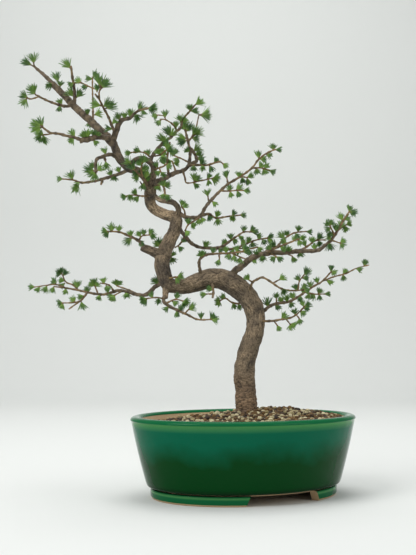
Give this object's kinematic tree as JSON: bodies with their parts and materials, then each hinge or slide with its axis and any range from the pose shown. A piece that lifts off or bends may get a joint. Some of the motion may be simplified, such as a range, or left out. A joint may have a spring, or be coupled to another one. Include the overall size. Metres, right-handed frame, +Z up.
{
  "type": "bonsai tree",
  "caption": "Larch bonsai with a winding bare trunk and tufted needle sprays, growing in gritty soil in a green glazed oval pot on low feet.",
  "frame": {"origin": "middle of the whole's outline seen from above, on the surface that the pot's feet stand on", "axes": "+Z up, +X to the right along the pictured front, -Y towards the viewer"},
  "size_m": [0.4268, 0.2416, 0.5493],
  "materials": {
    "bark": "rough grey-brown bark",
    "needles": "soft fresh green needles on orange-brown twigs",
    "glaze": "glossy emerald glaze, clay bare inside and on the feet",
    "soil": "open mix of pumice, bark and grit",
    "plastic": "black moulded mesh"
  },
  "bodies": {
    "root": {"drain_screen_left": "plastic", "drain_screen_right": "plastic", "pot": "glaze", "soil": "soil", "spray_crown_arch": "needles", "spray_crown_front": "needles", "spray_crown_right": "needles", "spray_crown_side": "needles", "spray_elbow": "needles", "spray_hanging": "needles", "spray_inside": "needles", "spray_leader": "needles", "spray_left_crook": "needles", "spray_left_knob": "needles", "spray_left_low": "needles", "spray_left_mid": "needles", "spray_left_twig": "needles", "spray_loop": "needles", "spray_low_front": "needles", "spray_right_back": "needles", "spray_right_bow": "needles", "spray_right_fan": "needles", "spray_right_low": "needles", "spray_right_lowest": "needles", "spray_right_main": "needles", "spray_side": "needles", "spray_under_arch": "needles", "spray_under_bow": "needles", "trunk": "bark"}
  },
  "joints": []
}
